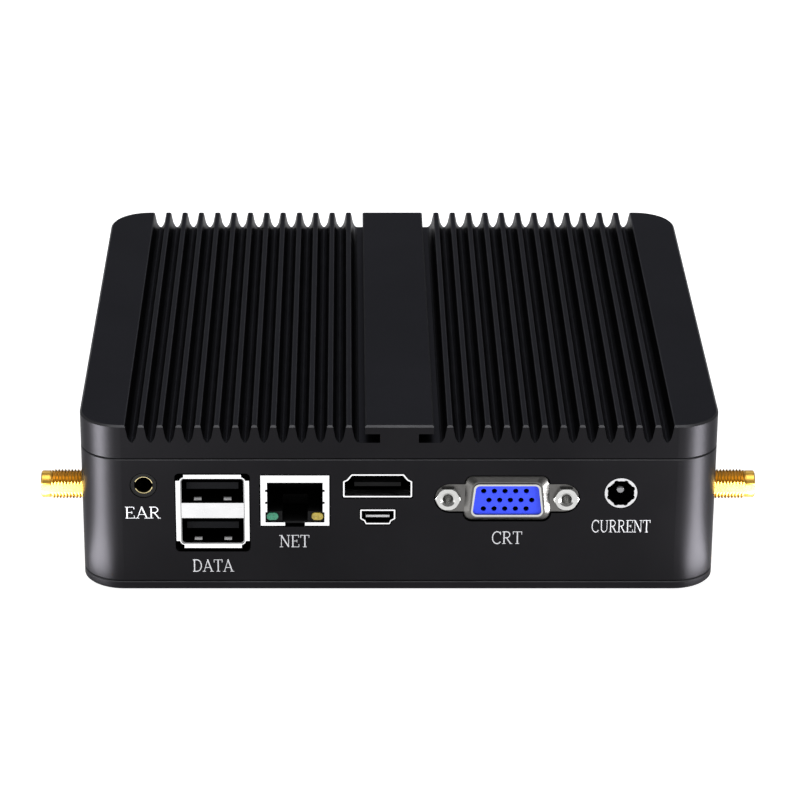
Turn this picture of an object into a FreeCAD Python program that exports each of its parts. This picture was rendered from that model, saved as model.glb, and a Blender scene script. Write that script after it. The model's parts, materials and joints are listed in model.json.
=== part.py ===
import FreeCAD, Part
import math
import os

# A fanless mini PC: a finned aluminium cover, a frame with the ports in it, and a bottom plate.
# Millimetres. The origin is under the middle of the case, level with the bottom of the feet.
# +Z is up, the ports look along -Y, and the power button looks along +Y.

V = FreeCAD.Vector

# Case
CASE_W = 135.0
CASE_D = 126.0
CORNER_R = 9.0
FOOT_H = 1.8
PLATE_T = 1.9
FRAME_H = 28.6
COVER_H = 7.7
WALL = 3.0
TOP_EDGE = 0.4        # chamfer round the top of the cover
SEAM_EDGE = 0.25      # chamfer where two shells meet
PLAY = 0.02           # room between pieces that are screwed, pressed or soldered together
PAST = 1.0            # how far a cutting shape runs past the face that it cuts

# Heatsink on top of the cover
FINS_PER_SIDE = 12
FIN_PITCH = 3.96
FIRST_FIN_X = 10.59
FIN_TIP_R = 0.45
GROOVE_DEPTH = 3.9
PANEL_HALF = 7.2      # the flat panel along the middle
PANEL_EDGE = 0.3
WEB_HALF = 4.05       # the web that carries the panel
PANEL_T = 1.9
POCKET_DEPTH = 1.6    # of the space under the cover
CPU_RISER_HALF = 17.0 # the block that comes down from the cover to the processor

# Fixings
M3_R = 1.5
M3_HEAD_R = 3.0
M3_KEY = 2.0          # across the flats of the key's hole
POST_X = CASE_W / 2 - 7.0     # case screws, one in each corner post
POST_Y = CASE_D / 2 - 7.0
POST_SIZE = 7.0
POST_CLEAR = 5.0      # half the notch that the board and the pocket leave round a post
BOARD_SCREW_X, BOARD_SCREW_Y = 54.0, 36.0
FOOT_X, FOOT_Y, FOOT_R = 51.0, 47.0, 5.0
VESA_HALF = 37.5      # half of the 75 mm mounting pattern
INSERT_R = 3.0
INSERT_FLANGE_R = 4.2
M4_CORE_R = 1.65

# Main board, which hangs under the cover with its connectors below it
BOARD_Z = 29.0
BOARD_T = 1.6
BOARD_HALF_W = 61.0
CPU_T = 1.2
CHIP_T = 1.2
MEMORY_Z = 25.9
MEMORY_END_Y = -38.5
MEMORY_T = 1.2
CARD_Z = 24.6         # underside of the wireless card and of the solid-state drive
CARD_T = 1.0
CARD_SCREW_IN = 2.6   # from a card's end to its screws
CARD_SCREW_X = (-43.4, -18.6, -5.4, 19.4)     # two for each card
WIFI_X0, WIFI_X1, WIFI_Y0, WIFI_Y1 = -46.0, -16.0, 4.0, 31.5
SSD_X0, SSD_X1, SSD_Y0, SSD_Y1 = -8.0, 22.0, -1.5, 49.0
COIN_X, COIN_Y, COIN_Z = 42.0, 12.0, 23.9
COIN_R, COIN_T = 10.0, 3.2

# Audio socket
AUDIO_X, AUDIO_Z = -53.9, 26.2
AUDIO_BODY_R = 2.75
AUDIO_BORE_R = 1.8
AUDIO_RING_R = 1.96   # outside of the split ring at its mouth

# USB sockets, two in each shell
USB_X = -39.4
FRONT_USB_X = 36.0
USB_HALF = 6.95       # half the width of the shell
USB_LIP_HALF = 6.08   # half the length of its upper and lower lips
USB_Z0, USB_Z1 = 12.27, 28.0
USB_LOWER_TOP = 18.5  # the divider's two faces
USB_UPPER_FLOOR = 22.0
USB_DEPTH = 16.4
USB_TONGUES = (15.8, 25.0)    # underside of each tongue
USB_TONGUE_HALF = 5.47
USB_TONGUE_T = 1.5
SHEET = 0.4           # thickness of the pressed metal

# Network socket
NET_X = -22.0
NET_Z0, NET_Z1 = 16.8, 28.5
NET_HALF = 7.25
NET_DEPTH = 15.5
PLUG_HALF = 5.88
PLUG_Z0, PLUG_Z1 = 19.95, 26.85
LATCH_HALF = 2.7
NET_LAMP_X, NET_LAMP_Z = 4.75, 18.87
NET_LAMP_HALF_W, NET_LAMP_HALF_H = 1.22, 0.82

# Video sockets
VIDEO_X, VIDEO_Z0 = -4.55, 23.43
VIDEO_DEPTH = 11.5
MICRO_X, MICRO_Z0 = -4.5, 17.12
MICRO_DEPTH = 8.0
MICRO_PIN_PITCH = 2.54

# Monitor socket. Each outline of its D is: half the top, half the bottom, height above and below middle
VGA_X, VGA_Z = 22.8, 23.2
JACKSCREW_SPACING = 24.99
JACKSCREW_CORE_R = 1.13
JACKSCREW_HEX = 4.76
RIM = (6.95, 7.75, 3.65, 3.85)
EMBOSS_TOP = (7.35, 8.15, 4.05, 4.25)
EMBOSS_FOOT = (8.7, 9.2, 5.1, 5.15)
LOBE_R = 3.15
VGA_HOLE_R = 0.58
VGA_HOLE_PITCH = 2.25
VGA_HOLE_ROWS = ((-0.5, 1.95), (0.65, -0.15), (-0.5, -2.15))      # each row's shift in X and Z

# Power inlet
DC_X, DC_Z = 46.8, 24.4
DC_RING_R = 3.43
DC_HOLE_R = 2.8
DC_PIN_R = 1.05

# Aerial sockets in the side walls
AERIAL_Y, AERIAL_Z = -46.0, 18.6
AERIAL_R = 3.175      # crest of the 1/4-36 thread
AERIAL_NECK_R = 3.0   # where it passes through the wall
AERIAL_LEAD_IN_R = 2.9
AERIAL_FLAT = 2.62    # from the axis to the flat side
AERIAL_BORE_R = 2.25
AERIAL_INNER_X = 57.5
AERIAL_THREAD_X = CASE_W / 2 + 0.2
AERIAL_THREAD_END_X = 75.0
AERIAL_TIP_X = 76.9
AERIAL_LEAD_D = 1.13
LEAD_PLUGS = ((-36.0, 9.5), (-26.0, 9.5))
LEAD_PLUG_R = 1.5
LEAD_PLUG_Z = 23.9

# Power button and lamps on the button side
BUTTON_X, BUTTON_Z = -46.0, 22.5
BUTTON_R = 4.5
BUTTON_FLANGE_R = 5.4
BUTTON_PROUD = 0.8
SWITCH_R = 1.75
LAMP_X = (-32.0, -27.0)
LAMP_R = 1.5

# Worked out from the sizes above
PLATE_Z = FOOT_H
FRAME_Z = PLATE_Z + PLATE_T
COVER_Z = FRAME_Z + FRAME_H
TOP_Z = COVER_Z + COVER_H
POCKET_Z = COVER_Z + POCKET_DEPTH
PORT_Y = -CASE_D / 2
WALL_Y = PORT_Y + WALL
BUTTON_Y = CASE_D / 2
INNER_BUTTON_Y = BUTTON_Y - WALL
INNER_X = CASE_W / 2 - WALL
BOARD_TOP = BOARD_Z + BOARD_T
USB_FACE_Y = PORT_Y + 0.1
USB_BACK_Y = USB_FACE_Y + USB_DEPTH
NET_BACK_Y = PORT_Y + NET_DEPTH
MICRO_PIN_Y = PORT_Y + MICRO_DEPTH + 6.5
VGA_FLANGE_Y = PORT_Y + 0.3
VGA_BACK_Y = VGA_FLANGE_Y + 0.8
VGA_SHELL_Y = PORT_Y - 0.85
JACKSCREW_Y = PORT_Y - 0.7
BUTTON_BACK_Y = INNER_BUTTON_Y - 1.8
SWITCH_FRONT_Y = BUTTON_BACK_Y - 2.0


# ---------------------------------------------------------------- helpers

def box(x0, x1, y0, y1, z0, z1):
    return Part.makeBox(x1 - x0, y1 - y0, z1 - z0, V(x0, y0, z0))


def rod_x(x0, x1, y, z, r):
    return Part.makeCylinder(r, x1 - x0, V(x0, y, z), V(1, 0, 0))


def rod_y(y0, y1, x, z, r):
    return Part.makeCylinder(r, y1 - y0, V(x, y0, z), V(0, 1, 0))


def rod_z(z0, z1, x, y, r):
    return Part.makeCylinder(r, z1 - z0, V(x, y, z0), V(0, 0, 1))


def fuse(shapes):
    whole = shapes[0].fuse(shapes[1:]) if len(shapes) > 1 else shapes[0]
    return whole.removeSplitter()


def group(shapes):
    return Part.makeCompound(shapes)


def upright(edge):
    ends = [vertex.Point for vertex in edge.Vertexes]
    return len(ends) == 2 and abs(ends[0].x - ends[1].x) < 1e-6 and abs(ends[0].y - ends[1].y) < 1e-6


def level_with(edge, z):
    return all(abs(vertex.Z - z) < 1e-6 for vertex in edge.Vertexes)


def slab(width, depth, z0, z1, radius):
    """A block centred on the origin with its four upright edges rounded."""
    block = box(-width / 2, width / 2, -depth / 2, depth / 2, z0, z1)
    return block.makeFillet(radius, [edge for edge in block.Edges if upright(edge)])


def soften_rim(solid, z, size):
    """Chamfers every edge of the solid that lies at height z."""
    return solid.makeChamfer(size, [edge for edge in solid.Edges if level_with(edge, z)])


def rounded_outline(points, radius, y):
    """A closed wire in the plane Y = y through (x, z) points, with each corner rounded."""
    corners = [V(x, y, z) for x, z in points]
    edges, joints = [], []
    for i, corner in enumerate(corners):
        back = (corners[i - 1] - corner).normalize()
        on = (corners[(i + 1) % len(corners)] - corner).normalize()
        half = back.getAngle(on) / 2
        reach = radius / math.tan(half)
        middle = (back + on).normalize()
        apex = corner + middle * (radius / math.sin(half) - radius)
        joints.append((corner + back * reach, apex, corner + on * reach))
    for i, (start, apex, end) in enumerate(joints):
        edges.append(Part.Arc(start, apex, end).toShape())
        edges.append(Part.makeLine(end, joints[(i + 1) % len(joints)][0]))
    return Part.Wire(edges)


def plate_y(points, radius, y0, y1):
    """A plate between two Y planes with a rounded (x, z) outline."""
    return Part.Face(rounded_outline(points, radius, y0)).extrude(V(0, y1 - y0, 0))


def rectangle(x0, x1, z0, z1):
    return [(x0, z0), (x1, z0), (x1, z1), (x0, z1)]


def mirrored(points, x):
    """(x, z) points of a right half, completed with their mirror images and moved to x."""
    right = [(x + px, z) for px, z in points]
    left = [(x - px, z) for px, z in reversed(points)]
    return right + left


def turned(shape):
    """The same piece on the button side: half a turn about the Z axis."""
    return shape.rotated(V(0, 0, 0), V(0, 0, 1), 180)


def hexagon(middle, along, across_flats):
    """A hexagonal bar from the point middle, as long as the vector along, with two corners level with X."""
    ring = [V(math.cos(math.radians(a)), math.sin(math.radians(a)), 0) for a in range(0, 361, 60)]
    bar = Part.Face(Part.makePolygon([p * (across_flats / math.sqrt(3)) for p in ring]))
    bar.Placement = FreeCAD.Placement(middle, FreeCAD.Rotation(V(0, 0, 1), along))
    return bar.extrude(along)


def corners_of(x, y):
    return [(sx * x, sy * y) for sx in (-1, 1) for sy in (-1, 1)]


# ---------------------------------------------------------------- case shells

def groove_flank(x, side):
    """Edges from above a fin's tip, round the tip and down its flank, for a groove centred at x."""
    def at(dx, dz):
        return V(x + side * dx, PORT_Y - PAST, TOP_Z + dz)

    mouth = FIN_PITCH / 2 - 0.2
    shoulder = at(mouth - FIN_TIP_R, -FIN_TIP_R)
    on_tip = at(mouth - FIN_TIP_R * math.sqrt(0.5), -FIN_TIP_R * (1 - math.sqrt(0.5)))
    waist = at(0.98, -2.2)
    foot = at(0.3, -GROOVE_DEPTH + 0.18)
    return [
        Part.makeLine(at(mouth, 1), at(mouth, 0)),
        Part.Arc(at(mouth, 0), on_tip, shoulder).toShape(),
        Part.makeLine(shoulder, waist),
        Part.Arc(waist, at(0.76, -3.0), foot).toShape(),
    ]


def fin_groove(x):
    """The space between two fins, which narrows to a rounded root."""
    right = groove_flank(x, 1)
    left = groove_flank(x, -1)
    right_foot = right[-1].Vertexes[-1].Point
    left_foot = left[-1].Vertexes[-1].Point
    root = Part.Arc(right_foot, V(x, PORT_Y - PAST, TOP_Z - GROOVE_DEPTH), left_foot).toShape()
    lid = Part.makeLine(left[0].Vertexes[0].Point, right[0].Vertexes[0].Point)
    wire = Part.Wire(Part.__sortEdges__(right + [root] + left + [lid]))
    return Part.Face(wire).extrude(V(0, CASE_D + 2 * PAST, 0))


def panel_channel(side):
    """The channel beside the middle panel, undercut below the panel's edge."""
    def at(x, dz):
        return V(side * x, PORT_Y - PAST, TOP_Z + dz)

    x = FIRST_FIN_X - FIN_PITCH / 2
    flank = groove_flank(side * x, side)
    foot = flank[-1].Vertexes[-1].Point
    floor = -GROOVE_DEPTH
    corners = [
        foot, at(x - 0.1, floor), at(WEB_HALF, floor), at(WEB_HALF, -PANEL_T), at(PANEL_HALF, -PANEL_T),
        at(PANEL_HALF, -PANEL_EDGE), at(PANEL_HALF - PANEL_EDGE, 0), at(PANEL_HALF - PANEL_EDGE, 1),
        flank[0].Vertexes[0].Point,
    ]
    lines = [Part.makeLine(a, b) for a, b in zip(corners, corners[1:])]
    wire = Part.Wire(Part.__sortEdges__(flank + lines))
    return Part.Face(wire).extrude(V(0, CASE_D + 2 * PAST, 0))


def heatsink_cover():
    cover = slab(CASE_W, CASE_D, COVER_Z, TOP_Z, CORNER_R)
    cover = soften_rim(cover, TOP_Z, TOP_EDGE)
    cover = soften_rim(cover, COVER_Z, SEAM_EDGE)
    grooves = [panel_channel(-1), panel_channel(1)]
    for i in range(FINS_PER_SIDE):
        x = FIRST_FIN_X + FIN_PITCH * (i + 0.5)
        grooves += [fin_groove(x), fin_groove(-x)]
    holes = [rod_z(COVER_Z - PAST, COVER_Z + 5, x, y, M3_R + PLAY) for x, y in corners_of(POST_X, POST_Y)]
    bosses = []
    for x, y in corners_of(BOARD_SCREW_X, BOARD_SCREW_Y):
        bosses.append(rod_z(BOARD_TOP, POCKET_Z, x, y, 3.2))
        holes.append(rod_z(BOARD_TOP - PAST, COVER_Z + 2.7, x, y, M3_R + PLAY))
    return cover.cut(grooves + [cover_pocket()]).fuse(bosses).cut(holes)


def cover_pocket():
    """The hollow under the cover, less the corners and the block over the processor."""
    pocket = box(-62, 62, -58, 58, COVER_Z - PAST, POCKET_Z)
    keep = [box(-CPU_RISER_HALF, CPU_RISER_HALF, -CPU_RISER_HALF, CPU_RISER_HALF, COVER_Z, POCKET_Z)]
    return pocket.cut(keep + post_blocks(COVER_Z - PAST, POCKET_Z))


def post_blocks(z0, z1):
    """The square that each corner post takes from the pocket and from the board."""
    reach = POST_CLEAR
    return [box(x - reach, x + reach, y - reach, y + reach, z0, z1) for x, y in corners_of(POST_X, POST_Y)]


def case_frame():
    frame = slab(CASE_W, CASE_D, FRAME_Z, COVER_Z, CORNER_R)
    frame = soften_rim(frame, COVER_Z, SEAM_EDGE)
    frame = soften_rim(frame, FRAME_Z, SEAM_EDGE)
    inside = slab(CASE_W - 2 * WALL, CASE_D - 2 * WALL, FRAME_Z - 1, COVER_Z + 1, CORNER_R - WALL)
    frame = frame.cut(inside.cut(corner_posts()))
    holes = [rod_z(FRAME_Z - PAST, COVER_Z + PAST, x, y, M3_R + 0.1) for x, y in corners_of(POST_X, POST_Y)]
    for side in (-1, 1):
        wall_x = side * CASE_W / 2
        holes.append(rod_x(wall_x - 6, wall_x + 6, AERIAL_Y, AERIAL_Z, AERIAL_NECK_R + PLAY))
    return frame.cut(holes + port_cutouts() + button_cutouts())


def corner_posts():
    """A post in each inner corner of the frame, rounded on its free edge, for a case screw."""
    free_x, free_y = INNER_X - POST_SIZE, INNER_BUTTON_Y - POST_SIZE
    post = box(free_x, INNER_X, free_y, INNER_BUTTON_Y, FRAME_Z, COVER_Z)
    reach = free_x + free_y + 1
    free_corner = [e for e in post.Edges if upright(e) and e.BoundBox.XMax + e.BoundBox.YMax < reach]
    post = post.makeFillet(2, free_corner)
    right = [post, post.mirror(V(0, 0, 0), V(0, 1, 0))]
    return right + [each.mirror(V(0, 0, 0), V(1, 0, 0)) for each in right]


def bottom_plate():
    plate = slab(CASE_W, CASE_D, PLATE_Z, FRAME_Z, CORNER_R)
    plate = soften_rim(plate, PLATE_Z, SEAM_EDGE)
    plate = soften_rim(plate, FRAME_Z, SEAM_EDGE)
    holes = [case_screw(x, y, 0.03) for x, y in corners_of(POST_X, POST_Y)]
    for x, y in corners_of(VESA_HALF, VESA_HALF):
        holes.append(rod_z(PLATE_Z - PAST, FRAME_Z + PAST, x, y, INSERT_R + PLAY))
    return plate.cut(holes)


def case_screw(x, y, grow=0.0):
    """A long countersunk screw from the plate up into the cover, or, if grown, the hole for one."""
    head = Part.makeCone(M3_HEAD_R + grow, M3_R + grow, PLATE_T, V(x, y, PLATE_Z), V(0, 0, 1))
    shank = rod_z(PLATE_Z + 0.5, COVER_Z + 4.5, x, y, M3_R + grow)
    if grow:
        return fuse([head, shank, rod_z(PLATE_Z - 0.2, PLATE_Z, x, y, M3_HEAD_R + grow)])
    return fuse([head, shank]).cut(hexagon(V(x, y, PLATE_Z - 0.1), V(0, 0, 1.2), M3_KEY))


def vesa_insert(x, y):
    """A pressed-in M4 nut for a 75 mm mounting pattern."""
    top = FRAME_Z + 2.6
    body = fuse([rod_z(PLATE_Z, top, x, y, INSERT_R), rod_z(FRAME_Z, top, x, y, INSERT_FLANGE_R)])
    return body.cut(rod_z(PLATE_Z - PAST, top + PAST, x, y, M4_CORE_R))


def rubber_foot(x, y):
    foot = rod_z(0, FOOT_H, x, y, FOOT_R)
    return soften_rim(foot, 0, 0.5)


# ---------------------------------------------------------------- main board and what is on it

def main_board():
    board = box(-BOARD_HALF_W, BOARD_HALF_W, WALL_Y + 0.7, INNER_BUTTON_Y - 2, BOARD_Z, BOARD_TOP)
    holes = post_blocks(BOARD_Z - PAST, BOARD_TOP + PAST)
    for x, y in corners_of(BOARD_SCREW_X, BOARD_SCREW_Y):
        holes.append(rod_z(BOARD_Z - PAST, BOARD_TOP + PAST, x, y, M3_R + 0.1))
    return board.cut(holes)


def board_screw(x, y):
    head = rod_z(BOARD_Z - 1.8, BOARD_Z, x, y, 2.7)
    shank = rod_z(BOARD_Z - 0.5, COVER_Z + 2.4, x, y, M3_R)
    return fuse([head, shank]).cut(hexagon(V(x, y, BOARD_Z - 2), V(0, 0, 1.1), M3_KEY))


def cpu_package():
    substrate = box(-12.5, 12.5, -13.5, 13.5, BOARD_TOP, BOARD_TOP + 0.6)
    return fuse([substrate, box(-6, 6, -7, 7, BOARD_TOP + 0.5, BOARD_TOP + CPU_T)])


def thermal_pad():
    return box(-9, 9, -9, 9, BOARD_TOP + CPU_T, COVER_Z)


def memory_socket():
    bar = box(-36.5, 36.5, -43, -37, 24, BOARD_Z)
    arms = [box(s * 35.35 - 1.1, s * 35.35 + 1.1, -38, -12, 25, BOARD_Z) for s in (-1, 1)]
    slot = box(-34, 34, MEMORY_END_Y - 0.5, -36, MEMORY_Z - PLAY, MEMORY_Z + MEMORY_T + PLAY)
    return fuse([bar] + arms).cut(slot)


def memory_module():
    card = box(-33.8, 33.8, MEMORY_END_Y, MEMORY_END_Y + 30, MEMORY_Z, MEMORY_Z + MEMORY_T)
    chips = [box(x - 5, x + 5, -26, -14, MEMORY_Z - 1, MEMORY_Z + 0.2) for x in (-24, -8, 8, 24)]
    return fuse([card] + chips)


def card_socket(x0, x1, y0, y1, slot_y0, slot_y1):
    """An edge socket for a small card that lies flat under the board."""
    body = box(x0 - 1, x1 + 1, y0, y1, CARD_Z - 1, BOARD_Z)
    return body.cut(box(x0 - PLAY, x1 + PLAY, slot_y0, slot_y1, CARD_Z - PLAY, CARD_Z + CARD_T + PLAY))


def wireless_card():
    card = box(WIFI_X0, WIFI_X1, WIFI_Y0, WIFI_Y1, CARD_Z, CARD_Z + CARD_T)
    can = box(-42, -20, 13, 28, CARD_Z - 0.9, CARD_Z + 0.1)
    holes = [rod_z(CARD_Z - 1, CARD_Z + 2, x, WIFI_Y0 + CARD_SCREW_IN, 1.1) for x in CARD_SCREW_X[:2]]
    return fuse([card, can]).cut(holes)


def ssd_card():
    card = box(SSD_X0, SSD_X1, SSD_Y0, SSD_Y1, CARD_Z, CARD_Z + CARD_T)
    chips = [box(0, 14, y, y + 12, CARD_Z - 0.9, CARD_Z + 0.1) for y in (4, 18, 32)]
    holes = [rod_z(CARD_Z - 1, CARD_Z + 2, x, SSD_Y1 - CARD_SCREW_IN, 1.1) for x in CARD_SCREW_X[2:]]
    return fuse([card] + chips).cut(holes)


def card_screws():
    """Each is a screw with its spacer, from under the card up to the board."""
    screws = []
    for i, x in enumerate(CARD_SCREW_X):
        y = WIFI_Y0 + CARD_SCREW_IN if i < 2 else SSD_Y1 - CARD_SCREW_IN
        head = rod_z(CARD_Z - 0.9, CARD_Z, x, y, 1.9)
        shank = rod_z(CARD_Z - 0.5, BOARD_Z - 0.5, x, y, 1.0)
        spacer = rod_z(CARD_Z + CARD_T, BOARD_Z, x, y, 1.9)
        screws.append(fuse([head, shank, spacer]))
    return group(screws)


def coin_cell():
    cell = rod_z(COIN_Z, COIN_Z + COIN_T, COIN_X, COIN_Y, COIN_R)
    return soften_rim(cell, COIN_Z, 0.3)


def coin_cell_holder():
    """A cup with a gap in its wall, where a finger lifts the cell out."""
    cup = rod_z(COIN_Z + 0.5, BOARD_Z, COIN_X, COIN_Y, COIN_R + 1.5)
    pocket = rod_z(COIN_Z - PAST, COIN_Z + COIN_T + PLAY, COIN_X, COIN_Y, COIN_R + 0.05)
    gap = box(COIN_X - 3, COIN_X + 3, COIN_Y - COIN_R - 2, COIN_Y - COIN_R + 2, COIN_Z - PAST, COIN_Z + 4)
    return cup.cut([pocket, gap])


def board_chips():
    places = ((43.5, -7.5, 5), (-50, -20, 4.5), (46, 34, 4), (-47, 44, 3.5))
    return group([box(x - h, x + h, y - h, y + h, BOARD_Z - CHIP_T, BOARD_Z) for x, y, h in places])


def board_inductors():
    places = ((44, -32), (44, -24), (52, -24), (52, -16))
    return group([box(x - 3, x + 3, y - 3, y + 3, BOARD_Z - 3, BOARD_Z) for x, y in places])


def board_capacitors():
    places = ((44, -41), (51, -42.5), (-41.5, -40), (-49, -42))
    return group([rod_z(BOARD_Z - 6.5, BOARD_Z, x, y, 3.0) for x, y in places])


# ---------------------------------------------------------------- ports

def audio_jack_body():
    block = box(AUDIO_X - 3, AUDIO_X + 3, WALL_Y, WALL_Y + 12, AUDIO_Z - 2.8, BOARD_Z)
    barrel = rod_y(PORT_Y + 0.1, WALL_Y + 1, AUDIO_X, AUDIO_Z, AUDIO_BODY_R)
    bore = rod_y(PORT_Y - PAST, WALL_Y + 10, AUDIO_X, AUDIO_Z, AUDIO_BORE_R)
    mouth = rod_y(PORT_Y - PAST, PORT_Y + 2.5, AUDIO_X, AUDIO_Z, AUDIO_RING_R + PLAY)
    return fuse([block, barrel]).cut([bore, mouth, audio_side_springs(PLAY)])


def audio_side_springs(grow):
    """The ends of two springs: a thin one to the left of the mouth and a wide one to its right."""
    springs = []
    for side, half in ((-1, 0.16), (1, 0.42)):
        near, far = AUDIO_X + side * 1.99, AUDIO_X + side * (2.62 + grow)
        y0, y1 = PORT_Y + 0.15 - grow, PORT_Y + 2
        springs.append(box(min(near, far), max(near, far), y0, y1, AUDIO_Z - half, AUDIO_Z + half))
    return group(springs)


def audio_jack_contacts():
    """Two halves of a split ring round the mouth, and the two springs beside it."""
    y0, y1 = PORT_Y - PAST, PORT_Y + 3
    ring = rod_y(PORT_Y + 0.25, PORT_Y + 2.48, AUDIO_X, AUDIO_Z, AUDIO_RING_R)
    ring = ring.cut(rod_y(y0, y1, AUDIO_X, AUDIO_Z, AUDIO_BORE_R))
    gaps = [
        box(AUDIO_X - 3, AUDIO_X - 1.2, y0, y1, AUDIO_Z - 0.75, AUDIO_Z + 0.75),
        box(AUDIO_X + 1.2, AUDIO_X + 3, y0, y1, AUDIO_Z - 0.45, AUDIO_Z + 0.45),
    ]
    return group(ring.cut(gaps).Solids + audio_side_springs(0).Solids)


def usb_shell(x):
    """A pressed shell round two sockets, with flared lips, a bent divider and two springs in each socket."""
    mouth_y = USB_FACE_Y + 0.25
    inner = USB_HALF - SHEET
    z0, z1 = USB_Z0 + SHEET, USB_Z1 - SHEET
    tube = plate_y(rectangle(x - USB_HALF, x + USB_HALF, USB_Z0, USB_Z1), 1.1, mouth_y, USB_BACK_Y)
    tube = tube.cut(plate_y(rectangle(x - inner, x + inner, z0, z1), 0.7, mouth_y - PAST, USB_BACK_Y + PAST))
    springs = []
    for floor in (z0, USB_UPPER_FLOOR):
        springs += [usb_spring(x - 3.15, floor), usb_spring(x + 3.15, floor)]
    return fuse([tube] + usb_lips(x) + usb_divider(x) + springs)


def usb_lips(x):
    """The flared edges of the shell's mouth, with a thin rounded ring that joins them."""
    y0, y1 = USB_FACE_Y, USB_FACE_Y + SHEET
    lips = [
        box(x - USB_LIP_HALF, x + USB_LIP_HALF, y0, y1, USB_Z1 - 0.25, USB_Z1 + 0.65),
        box(x - USB_LIP_HALF, x + USB_LIP_HALF, y0, y1, USB_Z0 - 0.75, USB_Z0 + 0.25),
    ]
    for side in (-1, 1):
        middle = x + side * (USB_HALF + 0.42)
        lips.append(box(middle - 0.38, middle + 0.38, y0, y1, USB_Z0 + 0.9, USB_Z1 - 0.75))
    outline = rectangle(x - USB_HALF - 0.06, x + USB_HALF + 0.06, USB_Z0 - 0.06, USB_Z1 + 0.06)
    within = rectangle(x - USB_HALF + 0.14, x + USB_HALF - 0.14, USB_Z0 + 0.14, USB_Z1 - 0.14)
    ring = plate_y(outline, 1.16, y0, y1).cut(plate_y(within, 0.96, y0 - PAST, y1 + PAST))
    return lips + [ring]


def usb_divider(x):
    """The folded sheet between the two sockets: a front face and two floors behind it."""
    half = USB_HALF - SHEET + 0.05
    front, back = USB_FACE_Y + 0.15, USB_BACK_Y - 3.6
    return [
        box(x - half, x + half, front, front + SHEET, USB_LOWER_TOP, USB_UPPER_FLOOR),
        box(x - half, x + half, front, back, USB_UPPER_FLOOR - 0.3, USB_UPPER_FLOOR),
        box(x - half, x + half, front, back, USB_LOWER_TOP, USB_LOWER_TOP + 0.3),
    ]


def usb_spring(x, floor):
    """A short strip that rises from the floor of a socket just inside its mouth."""
    top = [(0.7, -0.1), (1.7, 0.5), (2.2, 0.5), (2.7, 0.3)]
    under = [(2.7, 0.1), (2.2, 0.28), (1.8, 0.28), (1.2, -0.1)]
    corners = [V(x - 0.8, USB_FACE_Y + y, floor + z) for y, z in top + under]
    return Part.Face(Part.makePolygon(corners + corners[:1])).extrude(V(1.6, 0, 0))


def usb_insert(x):
    """The moulding at the back of the shell, with a tongue in each socket."""
    half = USB_HALF - SHEET - PLAY
    z0, z1 = USB_Z0 + SHEET + PLAY, USB_Z1 - SHEET - PLAY
    block = plate_y(rectangle(x - half, x + half, z0, z1), 0.7, USB_BACK_Y - 3.5, USB_BACK_Y)
    tongues = [
        box(x - USB_TONGUE_HALF, x + USB_TONGUE_HALF, USB_FACE_Y + 0.9, USB_BACK_Y - 3, z, z + USB_TONGUE_T)
        for z in USB_TONGUES
    ]
    return fuse([block] + tongues)


def usb_contacts(x):
    strips = []
    for z in USB_TONGUES:
        for dx in (-3.5, -1.0, 1.0, 3.5):
            strips.append(box(x + dx - 0.5, x + dx + 0.5, USB_FACE_Y + 1.8, USB_FACE_Y + 12.8, z - 0.15, z))
    return group(strips)


def usb_cutout(x):
    return plate_y(rectangle(x - 7.97, x + 7.97, 10.7, 29.0), 1.0, PORT_Y - PAST, WALL_Y + PAST)


def network_shield():
    outer = box(NET_X - NET_HALF, NET_X + NET_HALF, PORT_Y + 0.05, NET_BACK_Y, NET_Z0, NET_Z1)
    half = NET_HALF - SHEET
    z0, z1 = NET_Z0 + SHEET, NET_Z1 - SHEET
    hollow = box(NET_X - half, NET_X + half, PORT_Y + 0.45, NET_BACK_Y - SHEET, z0, z1)
    mouth = [
        box(NET_X - PLUG_HALF, NET_X + PLUG_HALF, PORT_Y - PAST, PORT_Y + 1, PLUG_Z0 - 1.5, PLUG_Z1),
        box(NET_X - 2.1, NET_X + 2.1, PORT_Y - PAST, PORT_Y + 1, NET_Z0 - 1, PLUG_Z0),
    ]
    for side in (-1, 1):
        x = NET_X + side * 4.15
        mouth.append(box(x - 2.1, x + 2.1, PORT_Y - PAST, PORT_Y + 1, NET_Z0 + 0.75, PLUG_Z0))
        for z in (21.9, 24.7):
            nick = NET_X + side * (PLUG_HALF + 0.1)
            mouth.append(box(nick - 0.3, nick + 0.3, PORT_Y - PAST, PORT_Y + 1, z, z + 0.5))
    return outer.cut([hollow] + mouth)


def network_insert():
    half = NET_HALF - SHEET - PLAY
    body = box(NET_X - half, NET_X + half, PORT_Y + 0.5, NET_BACK_Y - SHEET - PLAY,
               NET_Z0 + SHEET + PLAY, NET_Z1 - SHEET - PLAY)
    cavity = box(NET_X - PLUG_HALF, NET_X + PLUG_HALF, PORT_Y - PAST, PORT_Y + 12.2, PLUG_Z0, PLUG_Z1)
    latch = box(NET_X - LATCH_HALF, NET_X + LATCH_HALF, PORT_Y - PAST, PORT_Y + 9, NET_Z0 + 0.9, PLUG_Z0 + 1)
    lamps = [network_lamp(side, PLAY) for side in (-1, 1)]
    return body.cut([cavity, latch] + lamps)


def network_lamp(side, grow=0.0):
    """A lamp with a nearly oval window."""
    x = NET_X + side * NET_LAMP_X
    half_w, half_h = NET_LAMP_HALF_W + grow, NET_LAMP_HALF_H + grow
    outline = rectangle(x - half_w, x + half_w, NET_LAMP_Z - half_h, NET_LAMP_Z + half_h)
    return plate_y(outline, 0.8, PORT_Y + 0.2, PORT_Y + 7)


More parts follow.
